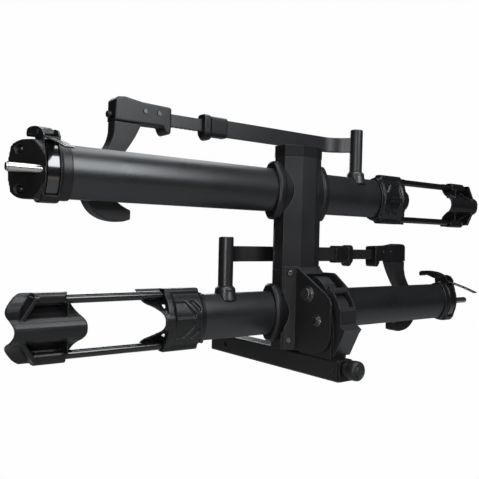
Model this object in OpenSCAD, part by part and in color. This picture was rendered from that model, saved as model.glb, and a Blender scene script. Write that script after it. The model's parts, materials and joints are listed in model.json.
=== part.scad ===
// Folding platform bike rack for a 2 inch hitch receiver, shown folded up.
// Origin: centre of the hitch pin hole. +Y points to the vehicle, X runs along the trays, +Z is up.

/* [Hitch tube] */
// Outer width of the square hitch tube
tube_w = 50.8; // [50:0.1:51]
// Wall thickness of the hitch tube
tube_wall = 6; // [4:0.5:7]
// Diameter of the hitch pin hole
pin_hole_d = 16; // [14:0.5:17]
// Length of the hitch tube in front of the pin hole, inside the receiver
tube_front = 70; // [60:1:90]
// Length of the hitch tube behind the pin hole
tube_rear = 436; // [430:1:450]
// Diameter of the tightening knob
knob_d = 46; // [40:1:50]

/* [Spine] */
// Width of the spine across its side faces
spine_w = 124; // [120:1:128]
// Height of the top of the spine above the hitch tube's axis
spine_top = 535; // [530:1:560]
// Height of the underside of the spine
spine_low = 31; // [30:1:34]

/* [Trays] */
// Height of the lower tray's axis above the hitch tube's axis
tray_low_z = 121.5; // [120:0.5:124]
// Distance between the two tray axes
tray_pitch = 301.5; // [300:0.5:306]
// Depth of a tray tube, front to back
tray_d = 62; // [60:1:64]
// Height of a tray tube
tray_h = 105; // [102:1:106]
// Wall thickness of a tray tube
tray_wall = 3.5; // [2.5:0.5:5]
// Distance from the spine's middle to the outer edge of an end cap
cap_end = 708; // [700:1:720]

/* [Wheel cradles] */
// Distance between a cradle's two rods
rod_pitch = 109; // [106:1:112]
// Diameter of a cradle rod
rod_d = 18; // [16:1:19]
// Distance from the spine's middle to the lower outer cradle's mouth
cradle_mouth = 592; // [585:1:600]
// Further reach of the upper outer cradle
upper_reach = 34; // [0:1:34]

/* [Wheel arms] */
// Distance from the spine's middle to an arm's post
post_x = 217; // [214:1:220]
// Diameter of an arm's post
post_d = 35; // [32:1:36]
// Height of a post's top above its tray's axis
post_top = 184; // [180:1:190]
// Height of the arm bar's middle above its tray's axis
bar_z = 143; // [141:1:146]
// Depth offset of the straight arm bar from its post, towards the vehicle
bar_y = 54; // [54:1:58]
// Height of the outer arm bar
bar_h = 38; // [36:1:40]
// Depth of the outer arm bar
bar_d = 20; // [20:1:21]
// Distance from the post to the open end of the outer bar's sleeve
sleeve_end = 470; // [460:1:480]
// Distance from the post to the near end of the hook head
head_start = 568; // [560:1:580]

/* [Hidden] */

black = "#1c1c1f";
dark = "#2a2a2e";
steel = "#b9bcc2";
eps = 0.01;
run = 0.05;             // radial running clearance of a hinge or a slide

tray_y = -256;          // depth of the tray axes
tray_z = [tray_low_z + tray_pitch, tray_low_z];
fold_y = -346;          // fold pivot
fold_z = 173;
lever_y = -407;         // release lever pivot
lever_z = 183;
knob_z = 6;             // height of the draw rod's axis
draw_rod_r = 5;
crosspin_y = -377.5;    // lock crosspin
crosspin_z = 112;
crosspin_r = 6;
crosspin_reach = norm([crosspin_y - fold_y, crosspin_z - fold_z]);
plate_x = 30;           // inner face of a bracket side plate
plate_t = 5;
tower_x = 19;           // half width of the pivot tower
flange_x = 86;          // outer face of a tray collar
rod_y = -6;             // depth of the cradle rods from the tray axis
rod_in = 342;           // inner end of a compact cradle rod
cap_start = -604;       // inner end of an end cap
cap_face = -660;        // rear edge of an end cap's slanted face
groove_x = [-656, -630];
strap_t = 3;
buckle_y = 8;           // buckle pin, from the tray axis
buckle_z = tray_h / 2 + 19;
lock_y = -19;           // cable lock axis, from the tray axis
lock_r = 9;
bar_bend = 50;          // angle at which the arm bar leaves its post
bend_r = 80;            // radius of the bar's bend
slider_h = 28;
slider_d = 12;
spigot_r = 12;

// ---------- shapes ----------
// A rectangle with true round corners
module round_rect(w, h, r) {
    square([w - 2 * r, h], center = true);
    square([w, h - 2 * r], center = true);
    for (x = [-1, 1], y = [-1, 1]) translate([x * (w / 2 - r), y * (h / 2 - r)]) circle(r, $fn = 48);
}

// Extrude a (y, z) outline along X
module along_x(x0, x1) {
    translate([x0, 0, 0]) rotate([90, 0, 90]) linear_extrude(x1 - x0) children();
}

// Extrude an (x, z) outline along Y
module along_y(y0, y1) {
    translate([0, y1, 0]) rotate([90, 0, 0]) linear_extrude(y1 - y0) children();
}

module rod_x(x0, x1, y, z, r) {
    translate([x0, y, z]) rotate([0, 90, 0]) cylinder(h = x1 - x0, r = r, $fn = 64);
}

module rod_y(y0, y1, x, z, r) {
    translate([x, y1, z]) rotate([90, 0, 0]) cylinder(h = y1 - y0, r = r, $fn = 64);
}

// Put a piece drawn about the tray's middle on tray i: 0 is the upper tray, 1 the lower, mirrored one
module at_tray(i) {
    translate([0, tray_y, tray_z[i]]) mirror([i, 0, 0]) children();
}

// The tray tube's outline: strongly crowned underneath, nearly flat on the wheel's side; grow makes it larger
// all round
module tray_outline(grow = 0) {
    intersection() {
        round_rect(tray_d + 2 * grow, tray_h + 2 * grow, 26 + grow);
        translate([75 - tray_d / 2, 0]) circle(75 + grow, $fn = 180);
        translate([tray_d / 2 - 170, 0]) circle(170 + grow, $fn = 360);
    }
}

// A point on a smooth curve through p0..p3, between p1 and p2
function curve_point(p0, p1, p2, p3, t) = 0.5 * ((2 * p1) + (p2 - p0) * t
    + (2 * p0 - 5 * p1 + 4 * p2 - p3) * t * t + (3 * p1 - p0 - 3 * p2 + p3) * t * t * t);

// Points along a smooth open curve through the given points
function smooth(p, steps = 5) = [for (i = [0 : len(p) - 2], s = [0 : steps - 1])
    curve_point(p[max(i - 1, 0)], p[i], p[i + 1], p[min(i + 2, len(p) - 1)], s / steps), p[len(p) - 1]];

// ---------- hitch side ----------
module hitch_tube() {
    inner = tube_w - 2 * tube_wall;
    color(black) difference() {
        along_y(-tube_rear, tube_front) round_rect(tube_w, tube_w, 5);
        along_y(-tube_rear - 1, tube_front + 1) round_rect(inner, inner, 2);
        rod_x(-tube_w, tube_w, 0, 0, pin_hole_d / 2);
        // window for the anti-rattle shoe
        translate([-9, -58, -tube_w]) cube([18, 34, tube_w - 10]);
        // plug screw holes
        rod_x(-tube_w, tube_w, -420, 0, 2.5);
    }
}

module tube_end_plug() {
    inner = tube_w - 2 * tube_wall;
    color(dark) difference() {
        union() {
            along_y(-tube_rear, -tube_rear + 30) round_rect(inner, inner, 2);
            along_y(-tube_rear - 6, -tube_rear) round_rect(tube_w - 3, tube_w - 3, 5);
        }
        rod_y(-500, 0, 0, knob_z, draw_rod_r + run);
        rod_x(-tube_w, tube_w, -420, 0, 2.5);
    }
}

module plug_screws() {
    color(steel) for (s = [0, 1]) mirror([s, 0, 0]) {
        rod_x(tube_w / 2, tube_w / 2 + 2, -420, 0, 4.5);
        rod_x(12, tube_w / 2 + eps, -420, 0, 2.5);
    }
}

// Side outline (y, z) of the pivot tower: a head round the fold pivot on a leaning stem
tower_points = [[-308, 25.4], [-308, 150], [-308, 175], [-311, 190], [-322, 205], [-334, 212], [-346, 214.5],
    [-360, 211.5], [-378, 199], [-391, 182], [-408, 172], [-424, 158], [-434, 134], [-435, 108], [-430, 70],
    [-420, 25.4]];
// Outline of the tower's wide foot, flush with the hitch tube's sides
tower_foot = [[-308, 24], [-308, 140], [-340, 150], [-396, 150], [-410, 136], [-416, 100], [-416, 24]];

module pivot_tower() {
    color(black) difference() {
        union() {
            along_x(-tower_x, tower_x) polygon(tower_points);
            along_x(-tube_w / 2, tube_w / 2) polygon(tower_foot);
            rod_x(-plate_x + 0.5, plate_x - 0.5, fold_y, fold_z, 20);
            rod_x(-tower_x, tower_x, lever_y, lever_z, 8.5);
        }
        // seat on the hitch tube
        translate([-60, -500, 0]) cube([120, 300, tube_w / 2]);
        rod_x(-60, 60, fold_y, fold_z, 10 + run);
        // curved slot in which the lock crosspin travels
        along_x(-60, 60) translate([fold_y, fold_z]) intersection() {
            difference() {
                circle(crosspin_reach + 7.5, $fn = 90);
                circle(crosspin_reach - 7.5, $fn = 90);
            }
            polygon([[0, 0], 140 * [cos(232), sin(232)], 140 * [cos(262), sin(262)],
                140 * [cos(300), sin(300)], 140 * [cos(352), sin(352)]]);
        }
        // pocket for the release lever's finger and its pivot
        along_x(-9, 9) polygon([[-460, 60], [-362, 60], [-362, 130], [-420, 130], [-460, 130]]);
        rod_x(-60, 60, lever_y, lever_z, 5 + run);
    }
}

module fold_pivot_bolt() {
    color(steel) {
        rod_x(-plate_x - plate_t - 3, plate_x + plate_t + 3, fold_y, fold_z, 10);
        for (s = [0, 1]) mirror([s, 0, 0]) {
            rod_x(plate_x + plate_t + 0.2, plate_x + plate_t + 3, fold_y, fold_z, 19);
            rod_x(plate_x + plate_t + 3, plate_x + plate_t + 12, fold_y, fold_z, 14);
        }
    }
}

module draw_rod() {
    color(steel) {
        rod_y(-tube_rear - 25, -26, 0, knob_z, draw_rod_r);
        // thrust collar behind the plug
        rod_y(-tube_rear + 31, -tube_rear + 37, 0, knob_z, 9);
    }
}

// Half outline (radius, distance behind the plug) of the knob
knob_half = [[draw_rod_r, 6.5], [17, 6.5], [18.5, 9], [17.5, 14], [16, 19], [16.5, 21], [20.5, 22.5],
    [knob_d / 2 - 0.5, 26], [knob_d / 2, 31], [knob_d / 2, 39], [knob_d / 2 - 0.7, 42.5], [knob_d / 2 - 3.5, 45],
    [19, 46], [15.5, 46], [14.5, 43.5], [11, 43.5], [10, 46], [8 + run, 46], [8 + run, 30], [draw_rod_r, 30]];

module tightening_knob() {
    color(dark) translate([0, -tube_rear, knob_z]) rotate([90, 0, 0]) rotate_extrude($fn = 96) polygon(knob_half);
}

module knob_lock_core() {
    color(steel) difference() {
        union() {
            rod_y(-tube_rear - 45, -tube_rear - 30, 0, knob_z, 8);
            rod_y(-tube_rear - 47, -tube_rear - 46.2, 0, knob_z, 9.5);
            rod_y(-tube_rear - 46.3, -tube_rear - 44.9, 0, knob_z, 8);
        }
        translate([-0.8, -tube_rear - 50, knob_z - 4]) cube([1.6, 12, 8]);
    }
}

module wedge_cone() {
    color(steel) difference() {
        translate([0, -22, knob_z]) rotate([90, 0, 0]) cylinder(h = 40, r1 = 12.5, r2 = 6.5, $fn = 64);
        rod_y(-80, 0, 0, knob_z, draw_rod_r + run);
    }
}

// A block under the cone whose top slopes with it
module lock_shoe() {
    color(steel) along_x(-8.8, 8.8) polygon([[-57, -tube_w / 2], [-25, -tube_w / 2], [-25, -6.4], [-57, -1.6]]);
}

// Side outline (y, z) of the release lever, and of the hollow between its flanges
lever_points = [[-399, 187], [-401, 195], [-408, 195], [-421, 178], [-437, 156], [-444, 140], [-445, 108],
    [-458, 98], [-456, 91], [-427, 34], [-418, 34], [-436, 66], [-434, 108], [-430, 134], [-414, 162],
    [-400, 174]];
lever_hollow = [[-380, 220], [-480, 220], [-480, 148], [-436.5, 148], [-440.5, 138], [-441, 92], [-449, 90],
    [-422, 33], [-422, 20], [-380, 20]];

module release_lever() {
    color(dark) difference() {
        union() {
            difference() {
                along_x(-26.5, 26.5) polygon(lever_points);
                along_x(-22, 22) polygon(lever_hollow);
            }
            // tread
            along_x(-28, 28) polygon([[-443, 109], [-460, 98], [-455.5, 90], [-443, 90]]);
            // finger that holds the lock crosspin
            along_x(-7.5, 7.5) polygon([[-368.5, 109], [-446, 79], [-441, 69], [-412, 70], [-369, 97]]);
        }
        rod_x(-60, 60, lever_y, lever_z, 5 + run);
        // clearance round the held crosspin
        rod_x(-60, 60, crosspin_y, crosspin_z, crosspin_r + 0.3);
    }
}

module lever_pin() {
    color(steel) {
        rod_x(-28.5, 28.5, lever_y, lever_z, 5);
        for (s = [0, 1]) mirror([s, 0, 0]) rod_x(26.8, 29, lever_y, lever_z, 7.5);
    }
}

module lever_spring() {
    color(steel) for (x = [-21.2, -20, 20, 21.2]) translate([x, lever_y, lever_z]) rotate([0, 90, 0])
        rotate_extrude($fn = 48) translate([6.4, 0]) circle(0.55, $fn = 16);
}

// ---------- spine ----------
spine_half = [[23, -302], [62, -280], [62, -243], [45, -222]];

module spine_outline(grow = 0) {
    polygon([for (s = [1, -1], k = [0 : 3]) let (p = spine_half[s > 0 ? k : 3 - k])
        [s * (p[0] + grow) * spine_w / 124, p[1] + (p[1] < -260 ? -grow : grow)]]);
}

module collar_outline(grow = 0) {
    intersection() {
        round_rect(72 + 2 * grow, 138 + 2 * grow, 35 + grow);
        translate([110 - 36, 0]) circle(110 + grow, $fn = 180);
        translate([36 - 110, 0]) circle(110 + grow, $fn = 180);
    }
}

module spine() {
    color(dark) difference() {
        translate([0, 0, spine_low]) linear_extrude(spine_top - 27 - spine_low) spine_outline();
        translate([0, 0, spine_low - 1]) linear_extrude(spine_top) spine_outline(-4.5);
        for (i = [0, 1]) translate([0, tray_y, tray_z[i]]) along_x(-80, 80) collar_outline(0.2);
        // shallow side panels between the trays
        for (s = [-1, 1]) translate([s * (spine_w / 2), tray_y - 3, 278]) cube([2.4, 26, 104], center = true);
        for (x = [-1, 1], z = [54, 220]) flange_bore(x, z, 4);
    }
}

module spine_cap() {
    color(dark) {
        translate([0, 0, spine_top - 26]) linear_extrude(26) spine_outline(0.8);
        translate([0, 0, spine_top - 40]) linear_extrude(14 + eps) spine_outline(-5);
    }
}

// ---------- folding bracket ----------
// Angle of the spine's rear chamfers, and the direction square to them
chamfer_turn = atan(22 / 39);

// Stand a piece on the rear chamfer, side x, at height z: its Z axis points out of the chamfer
module on_chamfer(x, z) {
    mirror([x > 0 ? 0 : 1, 0, 0]) translate([46, -289, z]) rotate([0, 0, chamfer_turn]) rotate([90, 0, 0]) children();
}

module flange_bore(x, z, r) {
    on_chamfer(x, z) translate([0, 0, -14]) cylinder(h = 40, r = r, $fn = 48);
}

plate_points = [[-297, 31], [-297, 236], [-304, 234], [-398, 180], [-414, 168], [-421, 154], [-421, 84], [-416, 66],
    [-406, 50], [-390, 39], [-372, 34]];

module pivot_bracket() {
    color(black) difference() {
        union() {
            for (s = [0, 1]) mirror([s, 0, 0]) along_x(plate_x, plate_x + plate_t) polygon(plate_points);
            // flanges on the spine's chamfers
            for (x = [-1, 1]) on_chamfer(x, 0) translate([-15, 31, 0]) cube([28, 205, plate_t]);
            // sloping web between the plates
            along_x(-plate_x - 1, plate_x + 1) polygon([[-301, 235], [-301, 214], [-312, 208], [-322, 213.5],
                [-326, 220.5], [-304, 233.2]]);
            // raised shoulder on the far plate
            along_x(plate_x, plate_x + plate_t) polygon([[-300, 225], [-300, 236], [-310, 236], [-323, 223],
                [-364, 223], [-374, 217], [-410, 190], [-414, 168], [-380, 160]]);
        }
        // room for the lower tray's collar in the flanges
        translate([0, tray_y, tray_z[1]]) along_x(-90, 90) collar_outline(1.2);
        for (x = [-1, 1], z = [54, 220]) flange_bore(x, z, 4);
        rod_x(-60, 60, fold_y, fold_z, 10 + run);
        rod_x(-60, 60, crosspin_y, crosspin_z, crosspin_r);
        // flush with the spine's rear faces
        translate([0, 0, spine_low - 1]) linear_extrude(spine_top) spine_outline();
    }
}

module bracket_bolts() {
    color(steel) for (x = [-1, 1], z = [54, 220]) on_chamfer(x, z) {
        translate([0, 0, -12]) cylinder(h = 12 + plate_t + 0.2, r = 4, $fn = 48);
        difference() {
            translate([0, 0, plate_t]) cylinder(h = 4.4, r1 = 7.6, r2 = 5.4, $fn = 48);
            translate([0, 0, plate_t + 2]) cylinder(h = 5, r = 2.6, $fn = 6);
        }
    }
}

module lock_crosspin() {
    color(steel) {
        rod_x(-41, 41, crosspin_y, crosspin_z, crosspin_r);
        for (s = [0, 1]) mirror([s, 0, 0]) {
            rod_x(plate_x + plate_t, plate_x + plate_t + 2.2, crosspin_y, crosspin_z, 13);
            along_x(plate_x + plate_t + 2.2, plate_x + plate_t + 8) translate([crosspin_y, crosspin_z])
                circle(10, $fn = 6);
        }
    }
}

// ---------- trays ----------
module tray(i) {
    color(black) at_tray(i) difference() {
        along_x(cap_start - 40, 330) tray_outline();
        along_x(cap_start - 41, 331) tray_outline(-tray_wall);
        post_hole();
        for (z = [-51, 51]) rod_y(-80, 0, 297, z, 2.5);
    }
}

module post_hole() {
    translate([post_x, 0, tray_h / 2 - 8]) cylinder(h = 20, r = spigot_r, $fn = 64);
}

// Two stepped collars that clamp the tray in the spine
module collars(i) {
    color(black) at_tray(i) for (s = [0, 1]) mirror([s, 0, 0]) difference() {
        union() {
            along_x(40, 66) collar_outline();
            along_x(66, 82) collar_outline(3);
            along_x(82, flange_x) collar_outline(-1);
        }
        along_x(30, 100) tray_outline();
    }
}

// Keeps the part of a piece on the spine's side of the slanted end face
module end_slant() {
    linear_extrude(200, center = true) polygon([[cap_start + 1, -60], [cap_face + 8, -60], [cap_face, -32],
        [-cap_end, 34], [-cap_end, 60], [cap_start + 1, 60]]);
}

module end_cap(i) {
    color(dark) at_tray(i) {
        difference() {
            union() {
                intersection() {
                    along_x(-cap_end, cap_start) tray_outline(4);
                    end_slant();
                }
                // rims beside the strap groove
                for (x = [groove_x[0] - 3.5, groove_x[1]]) along_x(x, x + 3.5) tray_outline(6);
            }
            along_x(cap_start - 40, cap_start + 1) tray_outline();
            // strap groove
            difference() {
                along_x(groove_x[0], groove_x[1]) tray_outline(10);
                along_x(groove_x[0] - 1, groove_x[1] + 1) tray_outline(0.5);
            }
            // cable lock bore
            rod_x(-740, -650, lock_y, 0, lock_r + run);
            // screw pockets
            for (z = [-38, 38]) {
                rod_x(-740, -686, 14, z, 8);
                rod_x(-720, -662, 14, z, 3);
            }
        }
        // bridge over the strap, underneath
        difference() {
            intersection() {
                along_x(groove_x[0] - 5, groove_x[1] + 5) tray_outline(9.5);
                translate([-700, -40, -70]) cube([100, 80, 22]);
            }
            along_x(groove_x[0] - 6, groove_x[1] + 6) tray_outline(4.05);
        }
        for (x = [groove_x[0] - 5, groove_x[1]]) difference() {
            intersection() {
                along_x(x, x + 5) tray_outline(9.4);
                translate([-700, -39.9, -69.9]) cube([100, 79.8, 22.9]);
            }
            along_x(x - 1, x + 6) tray_outline(1);
        }
    }
}

module tray_screws(i) {
    color(steel) at_tray(i) {
        for (z = [-38, 38]) {
            rod_x(-690, -686, 14, z, 5.5);
            rod_x(-686.1, -662, 14, z, 3);
        }
        for (z = [-51, 51]) {
            rod_y(-25, -22, 297, z, 4.5);
            rod_y(-22.1, -4, 297, z, 2.5);
        }
    }
}

module cable_lock(i) {
    color(steel) at_tray(i) difference() {
        union() {
            rod_x(-724, -652, lock_y, 0, lock_r);
            rod_x(-727, -723, lock_y, 0, lock_r - 1.5);
        }
        translate([-730, lock_y - 0.9, -4]) cube([9, 1.8, 8]);
    }
}

module wheel_strap(i) {
    x0 = groove_x[0] + 2;
    x1 = groove_x[1] - 2;
    tail = [[-tray_d / 2 - 78, 34], [-tray_d / 2 - 40, 47], [-tray_d / 2 + 2, 58.2], [0, 59]];
    color(black) at_tray(i) {
        difference() {
            along_x(x0, x1) tray_outline(0.6 + strap_t);
            along_x(x0 - 1, x1 + 1) tray_outline(0.6);
        }
        along_x(x0 + 1, x1 - 1) polygon(concat(tail, [[0, 56], [-tray_d / 2 + 2, 55.6], [-tray_d / 2 - 40, 44.8],
            [-tray_d / 2 - 78, 31.8]]));
    }
}

module buckle_frame(i) {
    base = tray_h / 2 + 4.2;
    x0 = groove_x[0] - 4;
    color(black) at_tray(i) difference() {
        union() {
            for (x = [x0, groove_x[1] + 0.5]) translate([x, 0, 0]) along_x(0, 3.5)
                polygon([[-20, base - 11], [-22, base + 8], [-12, base + 20], [2, base + 24], [16, base + 22],
                    [24, base + 12], [22, base - 11]]);
            translate([x0, -21.5, base + 3]) cube([groove_x[1] - x0 + 4, 8, 3]);
        }
        rod_x(-700, -600, buckle_y, buckle_z, 3);
        along_x(-700, -600) tray_outline(6.05);
    }
}

module buckle_pin(i) {
    color(steel) at_tray(i) {
        rod_x(groove_x[0] - 5.5, groove_x[1] + 5.5, buckle_y, buckle_z, 3);
        for (x = [groove_x[0] - 6.5, groove_x[1] + 4.2]) rod_x(x, x + 2.3, buckle_y, buckle_z, 5.5);
    }
}

// Side outline (y, z) of the buckle lever: hub, arm and upturned fingertip hook
buckle_curve_low = smooth([[2, 65], [18, 66], [34, 70], [50, 75], [66, 79], [76, 79], [80, 74]]);
buckle_curve_top = smooth([[85, 74], [88, 82], [82, 89], [66, 91], [46, 90], [26, 87], [10, 81], [3, 78]]);

module buckle_lever(i) {
    color(black) at_tray(i) difference() {
        union() {
            along_x(groove_x[0] + 0.3, groove_x[1] - 0.3) polygon(concat(buckle_curve_low, buckle_curve_top));
            rod_x(groove_x[0] + 0.3, groove_x[1] - 0.3, buckle_y, buckle_z, 8);
        }
        rod_x(groove_x[0] - 9, groove_x[1] + 9, buckle_y, buckle_z, 3 + run);
    }
}

// ---------- front wheel cradles ----------
// Half outlines (y, z) of the cradle's trough, from its ridge to its edge: rear face and wheel face
trough_rear = [[-44, 0], [-43, 8], [-39, 16], [-31, 23], [-20, 28], [-10, 34], [-2, 41], [4, 49], [8, 58], [10, 68]];
trough_face = [[-39.5, 0], [-38.6, 7], [-35, 13.5], [-28, 19.5], [-17.5, 24], [-7, 30.5], [1.5, 38], [8, 47],
    [12, 57], [14, 68]];

function below(points) = [for (k = [len(points) - 1 : -1 : 1]) [points[k][0], -points[k][1]]];
function reversed(points) = [for (k = [len(points) - 1 : -1 : 0]) points[k]];

module trough_outline() {
    polygon(concat(below(trough_rear), trough_rear, reversed(concat(below(trough_face), trough_face))));
}

module rods_pair(x0, x1, r) {
    for (z = [-1, 1]) rod_x(x0, x1, rod_y, z * rod_pitch / 2, r);
}

// Rounded sleeves that hold the rods
module sleeves(x0, x1) {
    for (z = [-1, 1]) along_x(x0, x1) translate([rod_y, z * (rod_pitch / 2 + 2.5)]) round_rect(27, 24, 8);
}

// Outline (x, z) that gives the inner cradle its scalloped mouth
mouth_half = concat(smooth([[400, 0], [400, 9], [404, 20], [413, 29], [427, 36], [435, 43], [439, 54], [446, 66]]),
    [[447, 70], [372, 70]]);

module inner_cradle(i) {
    color(dark) at_tray(i) difference() {
        union() {
            // shell round the tray's end, then the trough
            along_x(291, 301) tray_outline(5);
            along_x(301, 376) tray_outline(9);
            along_x(376, 391) tray_outline(11);
            intersection() {
                along_x(374, 448) trough_outline();
                along_y(-60, 40) polygon(concat(below(mouth_half), mouth_half));
            }
            sleeves(304, 391);
        }
        // socket for the tray, and the hollow beyond it
        along_x(280, 330) tray_outline();
        along_x(329, 392) intersection() {
            tray_outline(-3);
            square([100, 68], center = true);
        }
        rods_pair(329, 470, rod_d / 2 + run);
        // pockets between the ribs on the rear face
        difference() {
            for (s = [0, 1]) mirror([0, 0, s]) {
                along_y(-90, 0) polygon([[371, 5], [371, 40], [345, 40], [322, 13], [322, 5]]);
                along_y(-90, 0) polygon([[334, 42], [312, 18], [308, 18], [308, 26], [323, 42]]);
            }
            along_x(300, 380) tray_outline(4.5);
        }
        for (z = [-51, 51]) rod_y(-80, 0, 297, z, 2.5);
        for (z = [-51, 51]) rod_y(-80, -22, 297, z, 5);
        // open towards the wheel beyond the tray's end
        along_x(346, 396) polygon([[80, -43], [80, 43], [6.5, 43], [3, 38], [-5.5, 30.5], [-10, 27], [-10, -27],
            [-5.5, -30.5], [3, -38], [6.5, -43]]);
    }
}

module cradle_rods(i) {
    reach = (i == 0) ? upper_reach : 0;
    color(steel) at_tray(i) rods_pair(rod_in + reach, cradle_mouth + 74 + reach, rod_d / 2);
}

// Outline (x, z), from the mouth, that rounds the outer cradle's end into two lobes
lobe_half = concat(smooth([[-18.5, 0], [-17, 13], [-10, 25], [-4, 37], [0, 48], [3, 60], [4, 70]]),
    smooth([[78, 70], [94, 69], [107, 62], [118, 50], [127, 38], [130, 28], [127, 18], [123, 8], [122, 0]]));

module outer_cradle(i) {
    reach = (i == 0) ? upper_reach : 0;
    color(dark) at_tray(i) translate([cradle_mouth + reach, 0, 0]) difference() {
        union() {
            intersection() {
                along_x(-25, 140) trough_outline();
                along_y(-60, 40) polygon(concat(below(lobe_half), lobe_half));
            }
            sleeves(15.5, 79);
            for (s = [0, 1]) mirror([0, 0, s]) {
                // rib from the sleeve's outer end to the ridge
                along_y(-37, 0) polygon([[73, 62], [83, 62], [113, 17], [105, 15]]);
                // thin wall from the sleeve's inner end to the ridge
                along_y(-33, 0) polygon([[15.5, 50], [19, 50], [19, 22], [15.5, 22]]);
            }
        }
        for (z = [-1, 1]) rod_x(-1, 74, rod_y, z * rod_pitch / 2, rod_d / 2);
    }
}

// ---------- wheel arms ----------
module arm_base(i) {
    low = 36;
    top = tray_h / 2 + 17;
    color(black) at_tray(i) difference() {
        union() {
            translate([post_x, 0, low]) cylinder(h = top - low - 6, r = 24, $fn = 96);
            translate([post_x, 0, top - 6]) cylinder(h = 6, r1 = 24, r2 = 18.5, $fn = 96);
            translate([post_x, 0, low]) cylinder(h = 22, r1 = 29, r2 = 24, $fn = 96);
            translate([post_x, 0, top - 1]) cylinder(h = post_top - 6 - top, r = spigot_r, $fn = 64);
            translate([post_x, 0, tray_h / 2 - 8]) cylinder(h = 10, r = spigot_r, $fn = 64);
        }
        difference() {
            along_x(100, 300) tray_outline();
            translate([post_x, 0, tray_h / 2 - tray_wall - 8]) cylinder(h = 20, r = spigot_r, $fn = 64);
        }
    }
}

module arm_post(i) {
    low = tray_h / 2 + 17.1;
    color(black) at_tray(i) translate([post_x, 0, 0]) difference() {
        union() {
            translate([0, 0, low]) cylinder(h = post_top - low - 2, r = post_d / 2, $fn = 96);
            translate([0, 0, post_top - 2 - eps]) cylinder(h = 2, r1 = post_d / 2, r2 = post_d / 2 - 2, $fn = 96);
        }
        translate([0, 0, low - 1]) cylinder(h = post_top - 4 - low, r = spigot_r + run, $fn = 96);
    }
}

// Where the bent bar becomes straight, from the post
bend_len = (bar_y - bend_r * (1 - cos(bar_bend))) / sin(bar_bend);
straight_x = bend_len * cos(bar_bend) + bend_r * sin(bar_bend);

// Plan outline (x, y) of the arm bar, w wide, up to end
function bar_side(w, turns) = [for (t = turns) [-straight_x, bar_y - bend_r] + (bend_r + w / 2) * [sin(t), cos(t)]];
function bar_points(w, end) = concat([w / 2 * [sin(bar_bend), cos(bar_bend)]], bar_side(w, [bar_bend : -5 : 0]),
    [[-end, bar_y + w / 2], [-end, bar_y - w / 2]], bar_side(-w, [0 : 5 : bar_bend]),
    [-w / 2 * [sin(bar_bend), cos(bar_bend)]]);

module arm_bar(i) {
    end = sleeve_end - 8;
    color(black) at_tray(i) translate([post_x, 0, bar_z]) difference() {
        linear_extrude(bar_h, center = true) polygon(bar_points(bar_d, end));
        linear_extrude(bar_h - 7, center = true) polygon(bar_points(bar_d - 7, end + 1));
        cylinder(h = 100, r = post_d / 2, center = true, $fn = 96);
    }
}

module arm_sleeve(i) {
    len = 62;
    color(dark) at_tray(i) translate([post_x - sleeve_end, bar_y, bar_z]) difference() {
        union() {
            along_x(0, len) round_rect(bar_d + 9, bar_h + 10, 8);
            along_x(-5, 12) round_rect(bar_d + 13, bar_h + 15, 10);
            // pawl housing under the bar
            translate([6, 0, -bar_h / 2 - 4]) rotate([90, 0, 0]) cylinder(h = bar_d + 2, r = 11, center = true, $fn = 64);
        }
        along_x(8, len + 1) square([bar_d, bar_h], center = true);
        along_x(-6, 9) square([slider_d + 2 * run, slider_h + 2 * run], center = true);
    }
}

module arm_slider(i) {
    from = 172;
    color(steel) at_tray(i) translate([post_x, bar_y, bar_z]) difference() {
        along_x(-head_start - 66, -from) square([slider_d, slider_h], center = true);
        // ratchet teeth along the lower edge
        for (k = [0 : 27]) translate([-head_start + 10 + 12 * k, 0, -slider_h / 2]) rotate([0, 45, 0])
            cube([3, slider_d + 2, 3], center = true);
    }
}

// Outline (x, z) of the hook head, from the post, with the button's end at its far corner
head_points = [[-568, 22], [-573, 25], [-640, 27], [-682, 33], [-698, 31], [-704, 24], [-705, -20], [-634, -20],
    [-588, -19], [-585, -27], [-580, -34], [-574, -36], [-569, -31], [-568, -20]];

module hook_head(i) {
    color(dark) at_tray(i) translate([post_x, bar_y, bar_z]) difference() {
        union() {
            along_y(-20, 20) polygon(head_points);
            along_x(-574, -568) round_rect(slider_d + 22, slider_h + 18, 8);
        }
        along_x(-head_start - 66, -560) square([slider_d, slider_h], center = true);
        // bore for the button
        rod_x(-720, -672, 0, -6, 8 + run);
        for (x = [-634, -600]) rod_y(-30, 0, x, 8, 2.5);
    }
}

// Outline (x, z) of the tyre hook: outer edge down, blunt tip, inner edge back up
hook_outer = smooth([[-705, -20.1], [-706, -46], [-714, -70], [-730, -94], [-750, -118], [-765, -150],
    [-767, -184], [-752, -212], [-728, -228], [-702, -234], [-682, -234], [-664, -229]]);
hook_inner = smooth([[-663, -209], [-684, -199], [-702, -186], [-714, -166], [-713, -142], [-699, -114],
    [-676, -82], [-655, -50], [-640, -20.1]]);

module tyre_hook(i) {
    color(black) at_tray(i) translate([post_x, bar_y, bar_z]) along_y(-17, 17)
        polygon(concat(hook_outer, hook_inner));
}

module release_button(i) {
    color(dark) at_tray(i) translate([post_x, bar_y, bar_z]) {
        rod_x(-712, -684, 0, -6, 8);
        rod_x(-715, -712 + eps, 0, -6, 6.5);
    }
}

module head_screws(i) {
    color(steel) at_tray(i) translate([post_x, bar_y, bar_z]) for (x = [-634, -600]) {
        rod_y(-22.5, -20, x, 8, 4.5);
        rod_y(-20.1, -8, x, 8, 2.5);
    }
}

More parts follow.
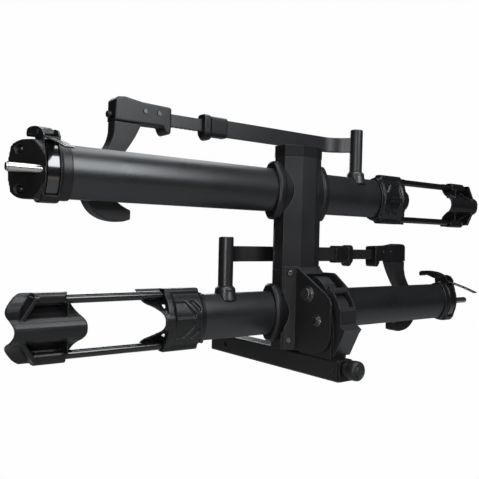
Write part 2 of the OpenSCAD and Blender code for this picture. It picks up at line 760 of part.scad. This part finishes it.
hitch_tube();
tube_end_plug();
plug_screws();
pivot_tower();
fold_pivot_bolt();
draw_rod();
tightening_knob();
knob_lock_core();
wedge_cone();
lock_shoe();
release_lever();
lever_pin();
lever_spring();
spine();
spine_cap();
pivot_bracket();
bracket_bolts();
lock_crosspin();
tray(0);  // tray_top
tray(1);  // tray_bottom
collars(0);  // collars_top
collars(1);  // collars_bottom
end_cap(0);  // end_cap_top
end_cap(1);  // end_cap_bottom
tray_screws(0);  // tray_screws_top
tray_screws(1);  // tray_screws_bottom
cable_lock(0);  // cable_lock_top
cable_lock(1);  // cable_lock_bottom
wheel_strap(0);  // wheel_strap_top
wheel_strap(1);  // wheel_strap_bottom
buckle_frame(0);  // buckle_frame_top
buckle_frame(1);  // buckle_frame_bottom
buckle_pin(0);  // buckle_pin_top
buckle_pin(1);  // buckle_pin_bottom
buckle_lever(0);  // buckle_lever_top
buckle_lever(1);  // buckle_lever_bottom
inner_cradle(0);  // inner_cradle_top
inner_cradle(1);  // inner_cradle_bottom
cradle_rods(0);  // cradle_rods_top
cradle_rods(1);  // cradle_rods_bottom
outer_cradle(0);  // outer_cradle_top
outer_cradle(1);  // outer_cradle_bottom
arm_base(0);  // arm_base_top
arm_base(1);  // arm_base_bottom
arm_post(0);  // arm_post_top
arm_post(1);  // arm_post_bottom
arm_bar(0);  // arm_bar_top
arm_bar(1);  // arm_bar_bottom
arm_sleeve(0);  // arm_sleeve_top
arm_sleeve(1);  // arm_sleeve_bottom
arm_slider(0);  // arm_slider_top
arm_slider(1);  // arm_slider_bottom
hook_head(0);  // hook_head_top
hook_head(1);  // hook_head_bottom
tyre_hook(0);  // tyre_hook_top
tyre_hook(1);  // tyre_hook_bottom
release_button(0);  // release_button_top
release_button(1);  // release_button_bottom
head_screws(0);  // head_screws_top
head_screws(1);  // head_screws_bottom
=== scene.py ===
import json
import math

import bmesh
import bpy
from mathutils import Matrix, Vector


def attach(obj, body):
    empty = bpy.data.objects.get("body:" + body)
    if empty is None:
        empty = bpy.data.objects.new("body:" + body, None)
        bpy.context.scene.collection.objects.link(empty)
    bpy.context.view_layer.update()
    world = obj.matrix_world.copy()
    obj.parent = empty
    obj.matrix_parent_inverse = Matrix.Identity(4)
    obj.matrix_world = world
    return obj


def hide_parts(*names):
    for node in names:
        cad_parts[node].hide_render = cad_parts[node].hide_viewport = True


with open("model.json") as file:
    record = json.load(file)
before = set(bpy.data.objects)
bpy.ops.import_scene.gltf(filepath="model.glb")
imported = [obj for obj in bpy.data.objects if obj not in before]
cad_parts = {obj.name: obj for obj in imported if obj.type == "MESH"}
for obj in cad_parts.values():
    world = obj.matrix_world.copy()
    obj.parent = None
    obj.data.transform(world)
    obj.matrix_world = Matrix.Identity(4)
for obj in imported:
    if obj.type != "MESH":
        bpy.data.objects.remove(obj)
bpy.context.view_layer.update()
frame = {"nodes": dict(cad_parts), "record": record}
nodes = frame["nodes"]
record = frame["record"]
slot_of = {s["node"]: s["material_slot"] for s in record["subparts"]}
body_of = {node: body for body, group in record["behaviour"]["bodies"].items() for node in group}
scene = bpy.context.scene
scene.view_settings.view_transform = "Standard"

# ---------- camera ----------
azimuth, elevation, roll = math.radians(-37.31), math.radians(1.11), math.radians(1.30)
camera_place = (-1.0653, -1.4253, 0.2994)
back = Vector((math.sin(azimuth) * math.cos(elevation),
               -math.cos(azimuth) * math.cos(elevation),
               math.sin(elevation)))
flat_right = Vector((math.cos(azimuth), math.sin(azimuth), 0))
flat_up = back.cross(flat_right)
right = flat_right * math.cos(roll) + flat_up * math.sin(roll)
up = flat_up * math.cos(roll) - flat_right * math.sin(roll)
cam_data = bpy.data.cameras.new("camera")
cam_data.sensor_width = 36
cam_data.lens = 46.48
cam_data.shift_x = -0.0023
cam_data.shift_y = 0.0254
cam_data.clip_start = 0.05
cam = bpy.data.objects.new("camera", cam_data)
facing = Matrix((right, up, back)).transposed().to_4x4()
cam.matrix_world = Matrix.Translation(camera_place) @ facing
scene.collection.objects.link(cam)
scene.camera = cam


# ---------- floor, world and lamps ----------
def show_to_camera(tree, lit, shown, output):
    """The camera sees the shader shown, and everything else is lit by the shader lit."""
    ray = tree.nodes.new("ShaderNodeLightPath")
    pick = tree.nodes.new("ShaderNodeMixShader")
    tree.links.new(ray.outputs["Is Camera Ray"], pick.inputs["Fac"])
    tree.links.new(lit, pick.inputs[1])
    tree.links.new(shown, pick.inputs[2])
    tree.links.new(pick.outputs["Shader"], tree.nodes[output].inputs["Surface"])


def add_floor(z):
    """A big pale floor that sweeps up far behind the rack."""
    near, sweep_start, sweep_radius, wall_height, half_width = -40.0, 14, 8, 40, 40
    steps = 24
    profile = [(near, z)]
    for k in range(steps + 1):
        angle = math.pi / 2 * k / steps
        profile.append((sweep_start + sweep_radius * math.sin(angle),
                        z + sweep_radius * (1 - math.cos(angle))))
    profile.append((sweep_start + sweep_radius, z + wall_height))
    bm = bmesh.new()
    rows = [[bm.verts.new((x, y, h)) for y, h in profile] for x in (-half_width, half_width)]
    for k in range(len(profile) - 1):
        bm.faces.new((rows[0][k], rows[1][k], rows[1][k + 1], rows[0][k + 1]))
    me = bpy.data.meshes.new("floor")
    bm.to_mesh(me)
    bm.free()
    ob = bpy.data.objects.new("floor", me)
    ob.rotation_euler = (0, 0, azimuth)
    scene.collection.objects.link(ob)
    # bright to look at, but dim as a lamp, so that black paint stays black
    mat = bpy.data.materials.new("floor_paper")
    mat.use_nodes = True
    tree = mat.node_tree
    paper = tree.nodes["Principled BSDF"]
    paper.inputs["Base Color"].default_value = (0.45, 0.45, 0.45, 1)
    paper.inputs["Roughness"].default_value = 0.9
    glow = tree.nodes.new("ShaderNodeEmission")
    glow.inputs["Strength"].default_value = 0.99
    show_to_camera(tree, paper.outputs["BSDF"], glow.outputs["Emission"], "Material Output")
    me.materials.append(mat)


def add_world():
    """A faint cool light from all sides, pale to look at like the floor."""
    world = bpy.data.worlds.new("studio")
    scene.world = world
    world.use_nodes = True
    tree = world.node_tree
    dim = tree.nodes["Background"]
    dim.inputs["Color"].default_value = (0.92, 0.96, 1, 1)
    dim.inputs["Strength"].default_value = 0.045
    pale = tree.nodes.new("ShaderNodeBackground")
    pale.inputs["Color"].default_value = (0.99, 0.99, 0.99, 1)
    show_to_camera(tree, dim.outputs["Background"], pale.outputs["Background"], "World Output")


def add_lamp(name, place, target, size, watts, tint):
    """A rectangular soft box at place that faces target."""
    data = bpy.data.lights.new(name, "AREA")
    data.shape = "RECTANGLE"
    data.size, data.size_y = size
    data.energy = watts
    data.color = tint
    ob = bpy.data.objects.new(name, data)
    ob.location = place
    ob.rotation_euler = (Vector(target) - Vector(place)).to_track_quat("-Z", "Y").to_euler()
    scene.collection.objects.link(ob)


floor_height = -0.60
# name, place, point it faces, width and height, watts, tint
lamps = (
    ("key", (-2.4, -1.4, 2.6), (-0.2, -0.25, 0.3), (1.0, 0.8), 24, (1, 0.99, 0.97)),
    ("front_box", (0.45, -2.6, 1.75), (-0.3, -0.25, 0.4), (1.1, 1.5), 64, (0.92, 0.96, 1)),
    ("top", (0.1, -0.50, 2.4), (0, -0.25, 0.4), (2.6, 0.8), 46, (0.94, 0.97, 1)),
    ("left_strip", (-2.1, -2.2, 0.55), (-0.1, -0.3, 0.25), (0.35, 1.3), 32, (0.94, 0.97, 1)),
    ("back_box", (0.9, 2.9, 1.5), (0, -0.25, 0.3), (2.2, 1.4), 46, (0.95, 0.97, 1)),
    ("low_fill", (0.4, -2.8, -0.45), (0, -0.25, 0.2), (2.4, 0.5), 2.5, (1, 0.86, 0.72)),
)
add_floor(floor_height)
add_world()
for lamp in lamps:
    add_lamp(*lamp)

# ---------- materials ----------
cloud_scale = 9.0                        # cloudy patches of tone per metre
cloud_detail, grain_detail = 5, 2        # octaves of noise
rough_spread, least_rough = 0.10, 0.03   # how far the clouds vary the roughness, and its floor
# where the rims of edges get their tint: rubbed wear, and on the bolts a painted glint
wear_and_glint_starts, wear_and_glint_full = 0.995, 0.86       # how far an edge turns the normal, as a cosine
bump_height = 0.0006                     # metres


def surface(name, base, rough, grain=900, bump=0.12, spread=0.25, metal=0.0, coat=0.0,
            coat_rough=0.1, edge=0.0009, wear_and_glint=0.0, wear_and_glint_tint=(0.16, 0.16, 0.17), spec=0.5):
    """A procedural finish.

    The tone is cloudy, varying by the fraction spread, and the bump has a fine grain. Edges are
    softened by the radius edge, in metres, and their rims are tinted towards a rim tint by a rim
    fraction (the fraction and tint that follow edge): rubbed wear, and on the bolts a painted
    glint.
    The grain is in cells per metre.
    """
    mat = bpy.data.materials.new(name)
    mat.use_nodes = True
    n, l = mat.node_tree.nodes, mat.node_tree.links
    p = n["Principled BSDF"]
    co = n.new("ShaderNodeTexCoord")
    clouds = n.new("ShaderNodeTexNoise")
    clouds.inputs["Scale"].default_value = cloud_scale
    clouds.inputs["Detail"].default_value = cloud_detail
    fine = n.new("ShaderNodeTexNoise")
    fine.inputs["Scale"].default_value = grain
    fine.inputs["Detail"].default_value = grain_detail
    l.new(co.outputs["Object"], clouds.inputs["Vector"])
    l.new(co.outputs["Object"], fine.inputs["Vector"])

    tone = n.new("ShaderNodeMix")
    tone.data_type = "RGBA"
    low = tuple(c * (1 - spread) for c in base)
    high = tuple(min(1, c * (1 + spread)) for c in base)
    tone.inputs["A"].default_value = (*low, 1)
    tone.inputs["B"].default_value = (*high, 1)
    l.new(clouds.outputs["Fac"], tone.inputs["Factor"])

    bev = n.new("ShaderNodeBevel")
    bev.samples = 4
    bev.inputs["Radius"].default_value = edge
    geo = n.new("ShaderNodeNewGeometry")
    dot = n.new("ShaderNodeVectorMath")
    dot.operation = "DOT_PRODUCT"
    l.new(bev.outputs["Normal"], dot.inputs[0])
    l.new(geo.outputs["Normal"], dot.inputs[1])
    # rims, where the bevel turns the normal away from the face, are tinted: rubbed wear, and on the
    # bolts a painted glint
    wear_and_glint_mask = n.new("ShaderNodeMapRange")
    wear_and_glint_mask.inputs["From Min"].default_value = wear_and_glint_starts
    wear_and_glint_mask.inputs["From Max"].default_value = wear_and_glint_full
    wear_and_glint_mask.inputs["To Min"].default_value = 0
    wear_and_glint_mask.inputs["To Max"].default_value = wear_and_glint
    l.new(dot.outputs["Value"], wear_and_glint_mask.inputs["Value"])
    worn_and_glint = n.new("ShaderNodeMix")
    worn_and_glint.data_type = "RGBA"
    worn_and_glint.inputs["B"].default_value = (*wear_and_glint_tint, 1)
    l.new(wear_and_glint_mask.outputs["Result"], worn_and_glint.inputs["Factor"])
    l.new(tone.outputs["Result"], worn_and_glint.inputs["A"])
    l.new(worn_and_glint.outputs["Result"], p.inputs["Base Color"])

    uneven = n.new("ShaderNodeMapRange")
    uneven.inputs["To Min"].default_value = max(least_rough, rough - rough_spread)
    uneven.inputs["To Max"].default_value = min(1, rough + rough_spread)
    l.new(clouds.outputs["Fac"], uneven.inputs["Value"])
    l.new(uneven.outputs["Result"], p.inputs["Roughness"])

    relief = n.new("ShaderNodeBump")
    relief.inputs["Strength"].default_value = bump
    relief.inputs["Distance"].default_value = bump_height
    l.new(fine.outputs["Fac"], relief.inputs["Height"])
    l.new(bev.outputs["Normal"], relief.inputs["Normal"])
    l.new(relief.outputs["Normal"], p.inputs["Normal"])
    p.inputs["Metallic"].default_value = metal
    p.inputs["Specular IOR Level"].default_value = spec
    p.inputs["Coat Weight"].default_value = coat
    p.inputs["Coat Roughness"].default_value = coat_rough
    return mat


powder = surface("powder_coat", (0.0092, 0.0090, 0.0096), 0.36,
                 grain=1400, bump=0.10, edge=0.0012, wear_and_glint=0.35, spec=0.45)
powder_tray = surface("tray_coat", (0.0088, 0.0088, 0.0097), 0.31,
                      grain=1100, bump=0.08, edge=0.0015, wear_and_glint=0.2)
plastic = surface("moulded_plastic", (0.0056, 0.0055, 0.0059), 0.33,
                  grain=2200, bump=0.16, edge=0.0016, wear_and_glint=0.25, spec=0.30)
plastic_soft = surface("soft_plastic", (0.0078, 0.0077, 0.0082), 0.46,
                       grain=1800, bump=0.2, edge=0.0016, wear_and_glint=0.3, spec=0.36)
strap_gloss = surface("strap_gloss", (0.006, 0.006, 0.0065), 0.14,
                      grain=700, bump=0.03, edge=0.0008, coat=0.8, coat_rough=0.06)
rod_coat = surface("rod_coat", (0.004, 0.004, 0.0043), 0.16,
                   bump=0.02, edge=0.0006, coat=0.15, spec=0.4)
zinc = surface("zinc_plate", (0.50, 0.51, 0.53), 0.28,
               grain=600, bump=0.05, metal=1, edge=0.0005, spread=0.12)
# the light tint at the rims paints a small glint on the black hardware and the lock core
dark_bolt = surface("black_bolt", (0.045, 0.045, 0.048), 0.24,
                    grain=700, bump=0.04, metal=0.7, edge=0.0006, wear_and_glint=0.6,
                    wear_and_glint_tint=(0.35, 0.35, 0.36))
# dark heads whose bright rims are a painted glint, put in the rim tint
steel_bolt = surface("steel_bolt", (0.085, 0.083, 0.080), 0.24,
                     grain=700, bump=0.05, metal=0.9, edge=0.0014, wear_and_glint=0.95,
                     wear_and_glint_tint=(0.62, 0.61, 0.60), spread=0.15)
chrome = surface("lock_chrome", (0.46, 0.44, 0.42), 0.22,
                 grain=500, bump=0.02, metal=1, edge=0.0006, spread=0.06)

by_slot = {
    "black_powder_coat": powder,
    "black_plastic": plastic,
    "gloss_strap": strap_gloss,
    "zinc_steel": dark_bolt,
    "chrome": chrome,
}
# the nodes whose finish differs from that of their slot
special = {
    "tray_top": powder_tray,
    "tray_bottom": powder_tray,
    "cradle_rods_top": rod_coat,
    "cradle_rods_bottom": rod_coat,
    "tightening_knob": plastic_soft,
    "tyre_hook_top": plastic_soft,
    "tyre_hook_bottom": plastic_soft,
    "draw_rod": zinc,
    "wedge_cone": zinc,
    "lock_shoe": zinc,
    "knob_lock_core": dark_bolt,
    "bracket_bolts": steel_bolt,
    "fold_pivot_bolt": steel_bolt,
    "lock_crosspin": steel_bolt,
}


def finish_of(node):
    """The material of a CAD node and of the piece that replaces it."""
    return special.get(node, by_slot[slot_of[node]])


for node, ob in nodes.items():
    if not ob.material_slots:
        ob.data.materials.append(finish_of(node))
    for s in ob.material_slots:
        s.material = finish_of(node)


# ---------- moulded pieces: the CAD form with its edges rounded as a mould leaves them ----------
def new_piece(me, mat, body):
    """A smooth-shaded piece, named after its mesh, that rides a body."""
    me.materials.clear()
    me.materials.append(mat)
    for f in me.polygons:
        f.use_smooth = True
    ob = bpy.data.objects.new(me.name, me)
    scene.collection.objects.link(ob)
    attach(ob, body)
    return ob


def moulded(node, voxel, rounds):
    """Replaces a node by its own form, rebuilt in voxels and smoothed for a number of rounds."""
    temp = bpy.data.objects.new("temp", nodes[node].data.copy())
    scene.collection.objects.link(temp)
    weld = temp.modifiers.new("weld", "WELD")
    weld.merge_threshold = 0.00002
    remesh = temp.modifiers.new("remesh", "REMESH")
    remesh.mode = "VOXEL"
    remesh.voxel_size = voxel
    remesh.adaptivity = 0
    smooth = temp.modifiers.new("smooth", "SMOOTH")
    smooth.factor = 0.5
    smooth.iterations = rounds
    bpy.context.view_layer.update()
    depsgraph = bpy.context.evaluated_depsgraph_get()
    me = bpy.data.meshes.new_from_object(temp.evaluated_get(depsgraph))
    bpy.data.objects.remove(temp)
    me.name = node + "_moulding"
    ob = new_piece(me, finish_of(node), body_of[node])
    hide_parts(node)


# ---------- the ratchet ridges across each strap's free tail, which the CAD leaves plain ----------
tray_places = {"top": (1, 0.423), "bottom": (-1, 0.1215)}  # side of the cradle, height of the axis
tray_y = -0.256
strap_x = -0.643
# the tail's outer face, as y and z from the tray's axis, from its free tip to the tray's top
tail_path = ((-0.109, 0.034), (-0.071, 0.047), (-0.029, 0.0582), (-0.004, 0.059))
ridge_pitch = 0.0042
ridge_half = (0.0088, 0.0009, 0.0008)
ridge_soft = 0.00035


def rounded_bar(bm, half, soft, move):
    """Adds a box with softened edges to a bmesh, placed by the matrix move."""
    before = set(bm.verts)
    made = bmesh.ops.create_cube(bm, size=2, matrix=Matrix.Diagonal((*half, 1)))["verts"]
    edges = list({e for v in made for e in v.link_edges})
    bmesh.ops.bevel(bm, geom=edges, offset=soft, segments=2, affect="EDGES")
    bmesh.ops.transform(bm, matrix=move, verts=[v for v in bm.verts if v not in before])


def strap_ladder(tray):
    """The ridges of one strap, as one piece that rides the strap's body."""
    side, z0 = tray_places[tray]
    path = [Vector(point) for point in tail_path]
    bm = bmesh.new()
    for a, b in zip(path, path[1:]):
        along = (b - a).normalized()
        tilt = Matrix.Rotation(math.atan2(along.y, along.x), 4, "X")
        for k in range(int((b - a).length / ridge_pitch)):
            place = a + along * ridge_pitch * (k + 0.5)
            move = Matrix.Translation((side * strap_x, tray_y + place.x, z0 + place.y))
            rounded_bar(bm, ridge_half, ridge_soft, move @ tilt)
    me = bpy.data.meshes.new("strap_ladder_" + tray)
    bm.to_mesh(me)
    bm.free()
    ob = new_piece(me, strap_gloss, body_of["wheel_strap_" + tray])


# voxel size in metres and rounds of smoothing, for the pieces that each tray has
moulds = {
    "end_cap": (0.0014, 8),
    "inner_cradle": (0.0014, 8),
    "outer_cradle": (0.0013, 8),
    "collars": (0.0015, 8),
    "tyre_hook": (0.0015, 10),
    "hook_head": (0.0013, 8),
    "arm_sleeve": (0.0012, 6),
    "arm_base": (0.0014, 8),
}
for tray in tray_places:
    strap_ladder(tray)
    for piece, (voxel, rounds) in moulds.items():
        moulded(piece + "_" + tray, voxel, rounds)
moulded("tightening_knob", 0.0010, 6)
